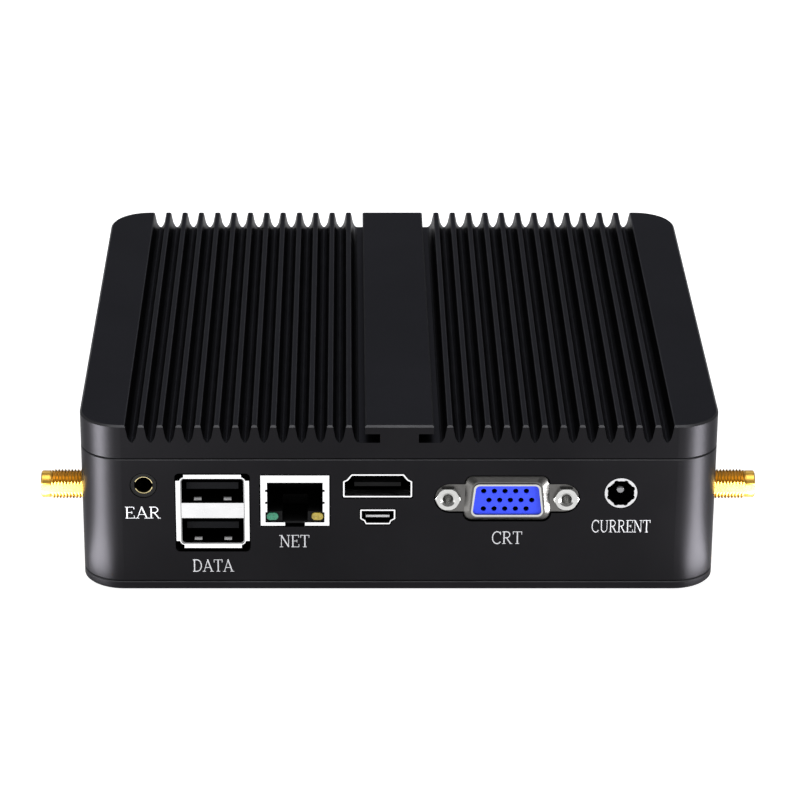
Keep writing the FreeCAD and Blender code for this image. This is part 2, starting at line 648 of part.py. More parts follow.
def network_contacts():
    """Eight springs that slope back from the roof of the socket."""
    wires = []
    for i in range(8):
        x = NET_X + 1.02 * (i - 3.5)
        profile = [(3.0, PLUG_Z1), (11.5, PLUG_Z1 - 1.3), (11.9, PLUG_Z1 - 1.1), (4.2, PLUG_Z1)]
        corners = [V(x - 0.2, PORT_Y + y, z) for y, z in profile]
        wires.append(Part.Face(Part.makePolygon(corners + corners[:1])).extrude(V(0.4, 0, 0)))
    return group(wires)


def video_outline(grow=0.0):
    """The right half of the large video socket, narrow at the top."""
    z = VIDEO_Z0
    return [
        (7.27 + grow, z - grow),
        (7.27 + grow, z + 3.65 + 0.4 * grow),
        (6.45 + 0.7 * grow, z + 4.1 + 0.7 * grow),
        (5.5 + 0.4 * grow, z + 5.33 + grow),
    ]


def video_shell():
    back = PORT_Y + VIDEO_DEPTH
    outer = plate_y(mirrored(video_outline(), VIDEO_X), 0.25, PORT_Y + 0.1, back)
    inner = plate_y(mirrored(video_outline(-0.3), VIDEO_X), 0.15, PORT_Y - PAST, back + PAST)
    return outer.cut(inner)


def video_tongue():
    back = PORT_Y + VIDEO_DEPTH
    block = plate_y(mirrored(video_outline(-0.32), VIDEO_X), 0.15, back - 2, back - 0.1)
    tongue = box(VIDEO_X - 4.9, VIDEO_X + 4.9, PORT_Y + 1.3, back - 1.5, VIDEO_Z0 + 2.05, VIDEO_Z0 + 2.95)
    return fuse([block, tongue])


def micro_outline(grow=0.0):
    """The right half of the small video socket, narrow at the bottom."""
    z = MICRO_Z0
    return [
        (2.55 + 0.5 * grow, z - grow),
        (2.85 + 0.7 * grow, z + 0.75 - 0.6 * grow),
        (3.7 + grow, z + 1.25 - 0.4 * grow),
        (3.7 + grow, z + 3.42 + grow),
    ]


def micro_shell():
    back = PORT_Y + MICRO_DEPTH
    outer = plate_y(mirrored(micro_outline(), MICRO_X), 0.2, PORT_Y + 0.1, back)
    inner = plate_y(mirrored(micro_outline(-0.28), MICRO_X), 0.12, PORT_Y - PAST, back + PAST)
    return outer.cut(inner)


def micro_tongue():
    back = PORT_Y + MICRO_DEPTH
    block = plate_y(mirrored(micro_outline(-0.3), MICRO_X), 0.12, back - 1.5, back - 0.1)
    tongue = box(MICRO_X - 2.5, MICRO_X + 2.5, PORT_Y + 0.6, back - 1, MICRO_Z0 + 1.45, MICRO_Z0 + 1.95)
    return fuse([block, tongue])


def micro_board():
    board = box(MICRO_X - 8, MICRO_X + 8, WALL_Y + 0.4, MICRO_PIN_Y + 2, MICRO_Z0 - 1.2, MICRO_Z0 - PLAY)
    return board.cut([rod_z(10, 20, x, MICRO_PIN_Y, 0.36) for x in micro_pin_places()])


def micro_pin_places():
    return [MICRO_X + MICRO_PIN_PITCH * (i - 2.5) for i in range(6)]


def micro_board_pins():
    """A header that carries the small board under the main board."""
    pins = [rod_z(MICRO_Z0 - 2, BOARD_Z, x, MICRO_PIN_Y, 0.33) for x in micro_pin_places()]
    base = box(MICRO_X - 7.6, MICRO_X + 7.6, MICRO_PIN_Y - 1.2, MICRO_PIN_Y + 1.2, MICRO_Z0, BOARD_Z - 0.4)
    return fuse([base] + pins)


def d_outline(half_top, half_bottom, up, down):
    """The D of the monitor socket, wider at the bottom, as (x, z) corners."""
    bottom, top = VGA_Z - down, VGA_Z + up
    return [
        (VGA_X - half_bottom, bottom), (VGA_X + half_bottom, bottom),
        (VGA_X + half_top, top), (VGA_X - half_top, top),
    ]


def grown_d(outline, grow):
    return d_outline(*[size + grow for size in outline])


def vga_face(y0, y1, grow=0.0):
    """The flange's outline as a flat solid: a lobe for each jackscrew and a bulge for the D."""
    reach = LOBE_R + grow
    lobes = [rod_y(y0, y1, VGA_X + side * 12.0, VGA_Z, reach) for side in (-1, 1)]
    web = box(VGA_X - 12, VGA_X + 12, y0, y1, VGA_Z - reach, VGA_Z + reach)
    bulge = plate_y(grown_d(EMBOSS_FOOT, grow), 1.9, y0, y1)
    return fuse(lobes + [web, bulge])


def vga_flange():
    foot = rounded_outline(d_outline(*EMBOSS_FOOT), 1.8, VGA_FLANGE_Y)
    shoulder = rounded_outline(d_outline(*EMBOSS_TOP), 1.5, PORT_Y - 0.55)
    emboss = Part.makeLoft([foot, shoulder], True, True)
    hole = plate_y(grown_d(RIM, PLAY), 1.2, PORT_Y - 3, WALL_Y + PAST)
    screws = [rod_y(PORT_Y - PAST, WALL_Y, x, VGA_Z, 1.45) for x in jackscrew_places()]
    return fuse([vga_face(VGA_FLANGE_Y, VGA_BACK_Y), emboss]).cut([hole] + screws)


def jackscrew_places():
    return (VGA_X - JACKSCREW_SPACING / 2, VGA_X + JACKSCREW_SPACING / 2)


def vga_shell():
    outer = plate_y(d_outline(*RIM), 1.2, VGA_SHELL_Y, VGA_BACK_Y)
    return outer.cut(plate_y(grown_d(RIM, -SHEET), 0.9, VGA_SHELL_Y - PAST, WALL_Y))


def vga_hole_places():
    """Three rows of five, the middle row set half a pitch to one side."""
    places = []
    for shift, dz in VGA_HOLE_ROWS:
        places += [(VGA_X + shift + VGA_HOLE_PITCH * (i - 2), VGA_Z + dz) for i in range(5)]
    return places


def vga_insert():
    front = plate_y(grown_d(RIM, -SHEET - PLAY), 0.9, VGA_SHELL_Y + 0.35, VGA_BACK_Y + 0.2)
    backing = vga_face(VGA_BACK_Y, WALL_Y + 1, -0.1)
    block = box(VGA_X - 9.5, VGA_X + 9.5, WALL_Y + 0.1, PORT_Y + 12, VGA_Z - 4.8, BOARD_Z)
    screws = [rod_y(PORT_Y - PAST, PORT_Y + 10, x, VGA_Z, 1.45) for x in jackscrew_places()]
    sockets = [rod_y(PORT_Y - 2, PORT_Y + 6, x, z, VGA_HOLE_R) for x, z in vga_hole_places()]
    return fuse([front, backing, block]).cut(screws + sockets)


def vga_contacts():
    tubes = []
    for x, z in vga_hole_places():
        tube = rod_y(PORT_Y + 2.0, PORT_Y + 5.9, x, z, VGA_HOLE_R - PLAY)
        tubes.append(tube.cut(rod_y(PORT_Y, PORT_Y + 5, x, z, 0.35)))
    return group(tubes)


def vga_jackscrew(x):
    """A hexagonal head with its corners turned off, on a shank, with a tapped hole."""
    face = V(x, JACKSCREW_Y, VGA_Z)
    head = hexagon(face, V(0, VGA_FLANGE_Y - JACKSCREW_Y, 0), JACKSCREW_HEX)
    head = head.common(Part.makeCone(2.45, 4.2, 1.75, face, V(0, 1, 0)))
    shank = rod_y(VGA_FLANGE_Y - 0.3, PORT_Y + 4.5, x, VGA_Z, 1.42)
    hole = rod_y(JACKSCREW_Y - PAST, PORT_Y + 3.6, x, VGA_Z, JACKSCREW_CORE_R)
    sink = Part.makeCone(1.6, JACKSCREW_CORE_R, 0.3, face, V(0, 1, 0))
    return fuse([head, shank]).cut([hole, sink])


def dc_jack_body():
    block = box(DC_X - 4.6, DC_X + 4.6, WALL_Y + 0.1, WALL_Y + 13, DC_Z - 4.6, BOARD_Z)
    bore = rod_y(WALL_Y - PAST, WALL_Y + 9, DC_X, DC_Z, DC_HOLE_R)
    return block.cut([bore, rod_y(WALL_Y, WALL_Y + 11, DC_X, DC_Z, DC_PIN_R + PLAY)])


def dc_jack_sleeve():
    """A ring in the wall with eight shallow scallops round its bore."""
    ring = rod_y(PORT_Y + 0.1, WALL_Y + 0.1, DC_X, DC_Z, DC_RING_R)
    cuts = [rod_y(PORT_Y - PAST, WALL_Y + PAST, DC_X, DC_Z, DC_HOLE_R)]
    for i in range(8):
        angle = math.radians(45 * i + 22.5)
        x = DC_X + 2.55 * math.cos(angle)
        z = DC_Z + 2.55 * math.sin(angle)
        cuts.append(rod_y(PORT_Y - PAST, WALL_Y - 0.6, x, z, 0.55))
    return ring.cut(cuts)


def dc_jack_pin():
    front = PORT_Y + 1.6
    pin = rod_y(front, WALL_Y + 11, DC_X, DC_Z, DC_PIN_R)
    tip = [edge for edge in pin.Edges if all(abs(v.Y - front) < 1e-6 for v in edge.Vertexes)]
    return pin.makeFillet(0.6, tip)


def port_cutouts():
    """The openings in the wall, each a little larger than what shows in it."""
    net = rectangle(NET_X - NET_HALF - 0.25, NET_X + NET_HALF + 0.25, NET_Z0 - 0.25, NET_Z1 + 0.25)
    y0, y1 = PORT_Y - PAST, WALL_Y + PAST
    return [
        rod_y(y0, y1, AUDIO_X, AUDIO_Z, AUDIO_BODY_R + 0.15),
        usb_cutout(USB_X),
        plate_y(net, 0.4, y0, y1),
        plate_y(mirrored(video_outline(0.25), VIDEO_X), 0.4, y0, y1),
        plate_y(mirrored(micro_outline(0.25), MICRO_X), 0.3, y0, y1),
        vga_face(y0, y1, 0.25),
        rod_y(y0, y1, DC_X, DC_Z, DC_RING_R + 0.17),
    ]


# ---------------------------------------------------------------- aerial sockets

def along_aerial(x0, x1, radius):
    return rod_x(x0, x1, AERIAL_Y, AERIAL_Z, radius)


def aerial_jack():
    """A threaded barrel through the right wall, drawn at its crest radius, with one flat side."""
    barrel = fuse([
        along_aerial(AERIAL_INNER_X, AERIAL_THREAD_X, AERIAL_NECK_R),
        along_aerial(AERIAL_THREAD_X, AERIAL_THREAD_END_X, AERIAL_R),
        along_aerial(AERIAL_THREAD_END_X - 1, AERIAL_TIP_X, AERIAL_LEAD_IN_R),
    ])
    flat_y = AERIAL_Y - AERIAL_FLAT
    flat = box(AERIAL_THREAD_X, AERIAL_TIP_X + PAST, flat_y - 4, flat_y, AERIAL_Z - 4, AERIAL_Z + 4)
    bore = along_aerial(AERIAL_INNER_X + 3, AERIAL_TIP_X + PAST, AERIAL_BORE_R)
    return barrel.cut([flat, bore, along_aerial(AERIAL_INNER_X - PAST, AERIAL_INNER_X + 4, 0.8)])


def aerial_insulator():
    body = along_aerial(AERIAL_INNER_X + 3, AERIAL_TIP_X - 2.1, AERIAL_BORE_R - PLAY)
    return body.cut(along_aerial(AERIAL_INNER_X + 2, AERIAL_TIP_X, 0.65))


def aerial_contact():
    pin = along_aerial(AERIAL_INNER_X + 0.6, AERIAL_TIP_X - 1.6, 0.63)
    return pin.cut(along_aerial(AERIAL_TIP_X - 5, AERIAL_TIP_X, 0.46))


def aerial_washer():
    ring = along_aerial(INNER_X - 0.5, INNER_X, 4.6)
    return ring.cut(along_aerial(INNER_X - 1, INNER_X + 1, AERIAL_NECK_R + 0.1))


def aerial_nut():
    nut = hexagon(V(INNER_X - 2.7, AERIAL_Y, AERIAL_Z), V(2.2, 0, 0), 8.0)
    return nut.cut(along_aerial(INNER_X - 4, INNER_X, AERIAL_NECK_R + PLAY))


def both_sides(shape):
    return [shape, shape.mirror(V(0, 0, 0), V(1, 0, 0))]


def lead_path(points):
    """Straight runs joined by arcs that touch them, and the smallest radius of those arcs."""
    start, edges, radii = points[0], [], []
    for before, corner, after in zip(points, points[1:], points[2:]):
        back, on = before - corner, after - corner
        reach = 0.45 * min(back.Length, on.Length)
        back, on = back.normalize(), on.normalize()
        half = back.getAngle(on) / 2
        radii.append(reach * math.tan(half))
        apex = corner + (back + on).normalize() * (radii[-1] / math.sin(half) - radii[-1])
        arc_start, arc_end = corner + back * reach, corner + on * reach
        edges += [Part.makeLine(start, arc_start), Part.Arc(arc_start, apex, arc_end).toShape()]
        start = arc_end
    edges.append(Part.makeLine(start, points[-1]))
    return Part.Wire(edges), min(radii)


def lead(name, points, diameter):
    """A round lead along (x, y, z) points."""
    points = [V(*point) for point in points]
    path, tightest = lead_path(points)
    ring = Part.Wire(Part.makeCircle(diameter / 2, points[0], points[1] - points[0]))
    tube = path.makePipeShell([ring], True, True)
    share = tube.Volume / (math.pi * diameter ** 2 / 4 * path.Length)
    print(f"{name}: length {path.Length:.1f}, smallest radius {tightest:.1f}")
    print(f"{name}: volume {share:.3f} of section times length")
    return tube


def aerial_leads():
    left_x, left_y = LEAD_PLUGS[0]
    right_x, right_y = LEAD_PLUGS[1]
    left = [
        (-AERIAL_INNER_X, AERIAL_Y, AERIAL_Z), (-48, -46, 18.6), (-42, -38, 18.2), (-39, -26, 18.6),
        (-37.5, -13, 20.2), (-36.2, -2, 22.6), (left_x, left_y - LEAD_PLUG_R - 0.1, LEAD_PLUG_Z),
    ]
    right = [
        (AERIAL_INNER_X, AERIAL_Y, AERIAL_Z), (47, -46, 18.6), (37, -38, 18.0), (22, -31, 18.2),
        (4, -24, 19.0), (-12, -15, 20.4), (-22, -5, 22.3),
        (right_x, right_y - LEAD_PLUG_R - 0.1, LEAD_PLUG_Z),
    ]
    return lead("left lead", left, AERIAL_LEAD_D), lead("right lead", right, AERIAL_LEAD_D)


def lead_plugs():
    return group([rod_z(CARD_Z - 1.3, CARD_Z, x, y, LEAD_PLUG_R) for x, y in LEAD_PLUGS])


# ---------------------------------------------------------------- button side

def button_cutouts():
    """Openings in the wall on the button side."""
    y0, y1 = INNER_BUTTON_Y - PAST, BUTTON_Y + PAST
    lamps = [rod_y(y0, y1, x, BUTTON_Z, LAMP_R + 0.05) for x in LAMP_X]
    return [rod_y(y0, y1, BUTTON_X, BUTTON_Z, BUTTON_R + 0.08), turned(usb_cutout(-FRONT_USB_X))] + lamps


def power_button():
    """A cap that a flange keeps behind the wall."""
    front = BUTTON_Y + BUTTON_PROUD
    cap = rod_y(BUTTON_BACK_Y, front, BUTTON_X, BUTTON_Z, BUTTON_R)
    rim = [edge for edge in cap.Edges if all(abs(v.Y - front) < 1e-6 for v in edge.Vertexes)]
    cap = cap.makeFillet(0.35, rim)
    flange = rod_y(BUTTON_BACK_Y, INNER_BUTTON_Y - 0.1, BUTTON_X, BUTTON_Z, BUTTON_FLANGE_R)
    dish = rod_y(front - 0.25, front + 1, BUTTON_X, BUTTON_Z, 3.5)
    return fuse([cap, flange]).cut(dish)


def power_switch_body():
    body = box(BUTTON_X - 3.7, BUTTON_X + 3.7, SWITCH_FRONT_Y - 5.5, SWITCH_FRONT_Y, BUTTON_Z - 3.7, BOARD_Z)
    return body.cut(rod_y(SWITCH_FRONT_Y - 3.2, SWITCH_FRONT_Y + 1, BUTTON_X, BUTTON_Z, SWITCH_R + 0.06))


def power_switch_plunger():
    return rod_y(SWITCH_FRONT_Y - 2.2, BUTTON_BACK_Y - 0.05, BUTTON_X, BUTTON_Z, SWITCH_R)


def lamp_pipe(x):
    """A clear pipe that takes light from the board out through the wall."""
    pipe = rod_y(BUTTON_Y - 11, BUTTON_Y + 0.2, x, BUTTON_Z, LAMP_R)
    leg = box(x - 1.2, x + 1.2, BUTTON_Y - 11, BUTTON_Y - 8, BUTTON_Z - 1, BOARD_Z)
    return fuse([pipe, leg])


# ---------------------------------------------------------------- all the pieces

def pieces():
    left_lead, right_lead = aerial_leads()
    jack = aerial_jack()
    return {
        "heatsink_cover": heatsink_cover(),
        "case_frame": case_frame(),
        "bottom_plate": bottom_plate(),
        "rubber_feet": group([rubber_foot(x, y) for x, y in corners_of(FOOT_X, FOOT_Y)]),
        "case_screws": group([case_screw(x, y) for x, y in corners_of(POST_X, POST_Y)]),
        "vesa_inserts": group([vesa_insert(x, y) for x, y in corners_of(VESA_HALF, VESA_HALF)]),
        "main_board": main_board(),
        "board_screws": group([board_screw(x, y) for x, y in corners_of(BOARD_SCREW_X, BOARD_SCREW_Y)]),
        "cpu_package": cpu_package(),
        "thermal_pad": thermal_pad(),
        "memory_socket": memory_socket(),
        "memory_module": memory_module(),
        "wireless_socket": card_socket(WIFI_X0, WIFI_X1, 30, 36, 29, WIFI_Y1 + PLAY),
        "wireless_card": wireless_card(),
        "ssd_socket": card_socket(SSD_X0, SSD_X1, -6, 0, SSD_Y0 - PLAY, 1),
        "ssd_card": ssd_card(),
        "card_screws": card_screws(),
        "coin_cell_holder": coin_cell_holder(),
        "coin_cell": coin_cell(),
        "board_chips": board_chips(),
        "board_inductors": board_inductors(),
        "board_capacitors": board_capacitors(),
        "aerial_jack_left": both_sides(jack)[1],
        "aerial_jack_right": jack,
        "aerial_insulators": group(both_sides(aerial_insulator())),
        "aerial_contacts": group(both_sides(aerial_contact())),
        "aerial_lock_washers": group(both_sides(aerial_washer())),
        "aerial_nuts": group(both_sides(aerial_nut())),
        "aerial_lead_left": left_lead,
        "aerial_lead_right": right_lead,
        "aerial_lead_plugs": lead_plugs(),
        "audio_jack_body": audio_jack_body(),
        "audio_jack_contacts": audio_jack_contacts(),
        "rear_usb_shell": usb_shell(USB_X),
        "front_usb_shell": turned(usb_shell(-FRONT_USB_X)),
        "usb_inserts": group([usb_insert(USB_X), turned(usb_insert(-FRONT_USB_X))]),
        "usb_contacts": group([usb_contacts(USB_X), turned(usb_contacts(-FRONT_USB_X))]),
        "network_shield": network_shield(),
        "network_insert": network_insert(),
        "network_contacts": network_contacts(),
        "network_lamp_green": network_lamp(-1),
        "network_lamp_yellow": network_lamp(1),
        "video_shell": video_shell(),
        "video_tongue": video_tongue(),
        "micro_video_shell": micro_shell(),
        "micro_video_tongue": micro_tongue(),
        "micro_video_board": micro_board(),
        "micro_video_header": micro_board_pins(),
        "vga_flange": vga_flange(),
        "vga_shell": vga_shell(),
        "vga_insert": vga_insert(),
        "vga_contacts": vga_contacts(),
        "vga_jackscrews": group([vga_jackscrew(x) for x in jackscrew_places()]),
        "dc_jack_body": dc_jack_body(),
        "dc_jack_sleeve": dc_jack_sleeve(),
        "dc_jack_pin": dc_jack_pin(),
        "power_button": power_button(),
        "power_switch_body": power_switch_body(),
        "power_switch_plunger": power_switch_plunger(),
        "lamp_pipes": group([lamp_pipe(x) for x in LAMP_X]),
    }


os.makedirs("parts", exist_ok=True)
for name, shape in pieces().items():
    shape.exportStep(f"parts/{name}.step")
    print(f"{name}: {len(shape.Solids)} solid(s), valid {shape.isValid()}, volume {shape.Volume:.1f}")
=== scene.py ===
import json
import math

import bmesh
import bpy
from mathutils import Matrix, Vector


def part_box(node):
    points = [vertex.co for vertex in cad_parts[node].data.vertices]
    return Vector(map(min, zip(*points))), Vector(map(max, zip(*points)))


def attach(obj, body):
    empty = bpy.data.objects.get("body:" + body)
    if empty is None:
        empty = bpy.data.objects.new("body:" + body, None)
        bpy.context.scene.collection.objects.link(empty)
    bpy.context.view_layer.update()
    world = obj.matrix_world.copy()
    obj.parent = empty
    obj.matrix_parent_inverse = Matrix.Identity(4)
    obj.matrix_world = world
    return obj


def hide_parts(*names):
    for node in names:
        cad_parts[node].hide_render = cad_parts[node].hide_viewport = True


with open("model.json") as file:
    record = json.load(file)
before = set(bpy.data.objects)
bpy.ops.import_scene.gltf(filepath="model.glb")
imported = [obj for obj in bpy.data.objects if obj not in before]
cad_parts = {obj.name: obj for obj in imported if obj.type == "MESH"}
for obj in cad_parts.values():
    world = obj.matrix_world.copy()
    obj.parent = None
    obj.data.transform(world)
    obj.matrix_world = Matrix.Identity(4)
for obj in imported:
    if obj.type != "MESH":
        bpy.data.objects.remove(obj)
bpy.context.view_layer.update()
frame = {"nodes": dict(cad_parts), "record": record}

# The looks of a fanless mini PC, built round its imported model. Metres; the port side faces -Y.

MM = 0.001
NODES = frame["nodes"]
CASE_LOW, CASE_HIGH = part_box("case_frame")
PORT_FACE = CASE_HIGH.y      # how far the port face and the button face lie from the middle


# ---------------------------------------------------------------- camera

CAMERA_PITCH = 23.733        # degrees below level
CAMERA_PLACE = (-11.31 * MM, -722.0 * MM, 337.6 * MM)
CAMERA_LENS = 155.64         # millimetres, as is the sensor's width
SENSOR_WIDTH = 36.0
CAMERA_SHIFT = (0.0681, -0.0107)
CAMERA_CLIP = (0.01, 50.0)


def make_camera():
    data = bpy.data.cameras.new("camera")
    data.sensor_width = SENSOR_WIDTH
    data.lens = CAMERA_LENS
    data.shift_x, data.shift_y = CAMERA_SHIFT
    data.clip_start, data.clip_end = CAMERA_CLIP
    camera = bpy.data.objects.new("camera", data)
    camera.location = CAMERA_PLACE
    camera.rotation_euler = (math.radians(90 - CAMERA_PITCH), 0, 0)
    bpy.context.scene.collection.objects.link(camera)
    bpy.context.scene.camera = camera


# ---------------------------------------------------------------- material helpers

# Blender's numbers for the sockets of a Mix node that mixes colours
MIX_SHARE, MIX_FIRST, MIX_SECOND, MIX_RESULT = 0, 6, 7, 2
SLANTED_Z = (0.5, 0.86)      # from least to most, how far a slanting face's normal points up
SLANTED_SOFT = 0.1


class Graph:
    """A material's node tree, with short ways to add what most of these materials share."""

    def __init__(self, material):
        material.use_nodes = True
        self.tree = material.node_tree
        self.shader = self.tree.nodes["Principled BSDF"]
        self.place = self.node("ShaderNodeTexCoord").outputs["Object"]

    def node(self, kind, **settings):
        made = self.tree.nodes.new(kind)
        for name, value in settings.items():
            setattr(made, name, value)
        return made

    def feed(self, value, socket):
        """Sets a socket to a number or a colour, or links another node's output to it."""
        if isinstance(value, bpy.types.NodeSocket):
            self.tree.links.new(value, socket)
        elif isinstance(value, (tuple, list)) and len(value) == 3 and len(socket.default_value) == 4:
            socket.default_value = (*value, 1)
        else:
            socket.default_value = value

    def set(self, **values):
        """Feeds the shader's own sockets, named with _ for each space."""
        for name, value in values.items():
            self.feed(value, self.shader.inputs[name.replace("_", " ")])

    def noise(self, grain, detail=2.0, stretch=(1, 1, 1)):
        """Noise whose blotches are about grain millimetres across."""
        mapping = self.node("ShaderNodeMapping")
        self.feed(self.place, mapping.inputs["Vector"])
        self.feed([share / (grain * MM) for share in stretch], mapping.inputs["Scale"])
        noise = self.node("ShaderNodeTexNoise")
        self.feed(mapping.outputs["Vector"], noise.inputs["Vector"])
        self.feed(1.0, noise.inputs["Scale"])
        self.feed(detail, noise.inputs["Detail"])
        return noise.outputs["Fac"]

    def spread(self, value, low, high, start=0.3, end=0.7):
        """Runs from low, where value is start, to high, where value is end."""
        ramp = self.node("ShaderNodeMapRange")
        sizes = {"Value": value, "From Min": start, "From Max": end, "To Min": low, "To Max": high}
        for name, number in sizes.items():
            self.feed(number, ramp.inputs[name])
        return ramp.outputs["Result"]

    def blend(self, share, first, second):
        """The first colour where share is 0, and the second where it is 1."""
        mix = self.node("ShaderNodeMix", data_type="RGBA")
        self.feed(share, mix.inputs[MIX_SHARE])
        self.feed(first, mix.inputs[MIX_FIRST])
        self.feed(second, mix.inputs[MIX_SECOND])
        return mix.outputs[MIX_RESULT]

    def math(self, operation, first, second=0.0):
        made = self.node("ShaderNodeMath", operation=operation)
        self.feed(first, made.inputs[0])
        self.feed(second, made.inputs[1])
        return made.outputs["Value"]

    def axis(self, vector, name):
        split = self.node("ShaderNodeSeparateXYZ")
        self.feed(vector, split.inputs["Vector"])
        return split.outputs[name]

    def window(self, value, low, high, soft):
        """1 where value lies from low to high, falling to 0 within soft beyond either end."""
        rise = self.spread(value, 0, 1, low - soft, low)
        fall = self.spread(value, 1, 0, high, high + soft)
        return self.math("MULTIPLY", rise, fall)

    def inside(self, start, end):
        """Share of painted shade: 0 out to start millimetres behind the port or button face, and 1 from end
        millimetres on.
        """
        away = self.math("ABSOLUTE", self.axis(self.place, "Y"))
        return self.spread(away, 0, 1, PORT_FACE - start * MM, PORT_FACE - end * MM)

    def slanted(self):
        """1 on faces that look up at a slant, such as chamfers and rounded tips."""
        normal = self.node("ShaderNodeNewGeometry").outputs["Normal"]
        return self.window(self.axis(normal, "Z"), *SLANTED_Z, SLANTED_SOFT)

    def tones(self, colour, grain, spread=0.1, detail=3):
        """A colour that drifts a little darker and lighter over grain millimetres."""
        darker, lighter = [c * (1 - spread) for c in colour], [c * (1 + spread) for c in colour]
        return self.blend(self.spread(self.noise(grain, detail), 0, 1), darker, lighter)

    def bump(self, height, depth):
        """Bump from a height of 0 to 1 that stands for depth millimetres."""
        bump = self.node("ShaderNodeBump")
        self.feed(height, bump.inputs["Height"])
        self.feed(depth * MM, bump.inputs["Distance"])
        self.feed(bump.outputs["Normal"], self.shader.inputs["Normal"])


# ---------------------------------------------------------------- materials

BLACK_ALUMINIUM = (0.0136, 0.0132, 0.0147)
EDGE_TINT = (0.62, 0.62, 0.63)    # anodising stays dark where it is seen at a slant
# a painted highlight: the paler colour of faces that look up at a slant
SLANT_HIGHLIGHT_ALUMINIUM = (0.075, 0.075, 0.08)
SILVER = (0.88, 0.88, 0.89)
GOLD = (0.74, 0.44, 0.08)
INK_WHITE = (0.72, 0.72, 0.75)
# painted shade deep in sockets and holes: its colour, and the roughness it brings
SHADE = (0.004, 0.004, 0.004)
SHADE_ROUGHNESS = 0.7
METAL_SWING = 0.07           # how far the roughness drifts either way
PLASTIC_SWING = 0.06
ALONG_X = (0.15, 1, 1)       # how noise is stretched into drawn lines
ROUND_X = (1, 0.2, 0.2)
ALONG_Z = (1, 1, 0.1)


def anodised(graph):
    """Fine-blasted black anodising: a matt grain, faint cloudiness, and a painted highlight that makes
    faces looking up at a slant paler, unevenly.
    """
    grain = graph.noise(0.22, detail=3)
    # painted highlight on faces that look up at a slant, made uneven by noise
    slant_highlight = graph.math("MULTIPLY", graph.slanted(), graph.spread(graph.noise(5, detail=3), 0.7, 1.0))
    skin = graph.tones(BLACK_ALUMINIUM, 28, spread=0.12)
    graph.set(
        Base_Color=graph.blend(slant_highlight, skin, SLANT_HIGHLIGHT_ALUMINIUM),
        Roughness=graph.spread(grain, 0.39, 0.45),
        Metallic=1.0,
        Specular_Tint=EDGE_TINT,
    )
    graph.bump(grain, 0.003)


def metal(graph, colour, roughness, grain=0.4, stretch=(1, 1, 1), shade=None):
    """Plated or bare metal with drawn lines and small stains. In a socket, shade is the start and end
    of a painted shade that darkens it, in millimetres behind the face."""
    lines = graph.noise(grain, 3, stretch)
    bright = graph.tones(colour, grain * 12, spread=0.05, detail=4)
    dull = graph.spread(lines, roughness - METAL_SWING, roughness + METAL_SWING)
    if shade:
        # painted shade, darker the deeper the surface lies behind the face
        dark = graph.inside(*shade)
        bright = graph.blend(dark, bright, SHADE)
        dull = graph.math("MAXIMUM", dull, graph.math("MULTIPLY", dark, SHADE_ROUGHNESS))
    graph.set(Base_Color=bright, Roughness=dull, Metallic=1.0)
    graph.bump(lines, 0.002)


SPRING_LEVELS = (1.65 * MM, 10.98 * MM)    # crests of a USB shell's springs above its lowest edge
SPRING_REACH = 4.2 * MM                    # their outer ends, from the shell's middle
REACH_SOFT = 0.2 * MM
CREST_BELOW, CREST_ABOVE = 0.3 * MM, 0.1 * MM    # how far a bright crest goes past its level
CREST_SOFT = 0.02 * MM


def usb_metal(graph, shell):
    """Bright lips, painted shade inside, and springs whose crests are left out of the shade and made matt
    and pale, so they show as painted highlights.
    """
    lines = graph.noise(0.35, 3, ALONG_X)
    low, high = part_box(shell)
    height = graph.axis(graph.place, "Z")
    crests = graph.math("ADD", *[
        graph.window(height, low.z + level - CREST_BELOW, low.z + level + CREST_ABOVE, CREST_SOFT)
        for level in SPRING_LEVELS
    ])
    middle = (low.x + high.x) / 2
    off_middle = graph.math("ABSOLUTE", graph.math("SUBTRACT", graph.axis(graph.place, "X"), middle))
    on_spring = graph.spread(off_middle, 1, 0, SPRING_REACH, SPRING_REACH + REACH_SOFT)
    crests = graph.math("MULTIPLY", crests, on_spring)
    # painted shade inside the shell, left off the springs' crests
    dark = graph.math("MULTIPLY", graph.inside(0.2, 0.45), graph.math("SUBTRACT", 1.0, crests))
    dull = graph.spread(lines, 0.24, 0.38)
    graph.set(
        Base_Color=graph.blend(dark, graph.tones(SILVER, 4, spread=0.05), SHADE),
        Roughness=graph.math("MAXIMUM", dull, graph.math("MULTIPLY", dark, SHADE_ROUGHNESS)),
        # the crests are made matt and pale so they show bright, a painted highlight
        Metallic=graph.spread(crests, 1.0, 0.1, 0, 1),
    )
    graph.bump(lines, 0.002)


def plastic(graph, colour, roughness, grain=0.12, depth=0.004, specular=0.5, shade=None):
    """Moulded plastic: a spark-eroded grain and slow changes of tone. It takes painted shade as metal does.
    """
    fine = graph.noise(grain, 2)
    tone = graph.tones(colour, 9)
    if shade:
        # painted shade inside the socket
        tone = graph.blend(graph.inside(*shade), tone, SHADE)
    graph.set(
        Base_Color=tone,
        Roughness=graph.spread(fine, roughness - PLASTIC_SWING, roughness + PLASTIC_SWING),
        Specular_IOR_Level=specular,
    )
    graph.bump(fine, depth)


def lamp_plastic(graph, colour):
    """Tinted plastic, which lets some light through."""
    fine = graph.noise(0.3, 2)
    graph.set(
        Base_Color=graph.tones(colour, 0.6, spread=0.25),
        Roughness=graph.spread(fine, 0.12, 0.25),
        Transmission_Weight=0.2,
        Coat_Weight=0.3,
        Coat_Roughness=0.1,
    )
    graph.bump(fine, 0.004)


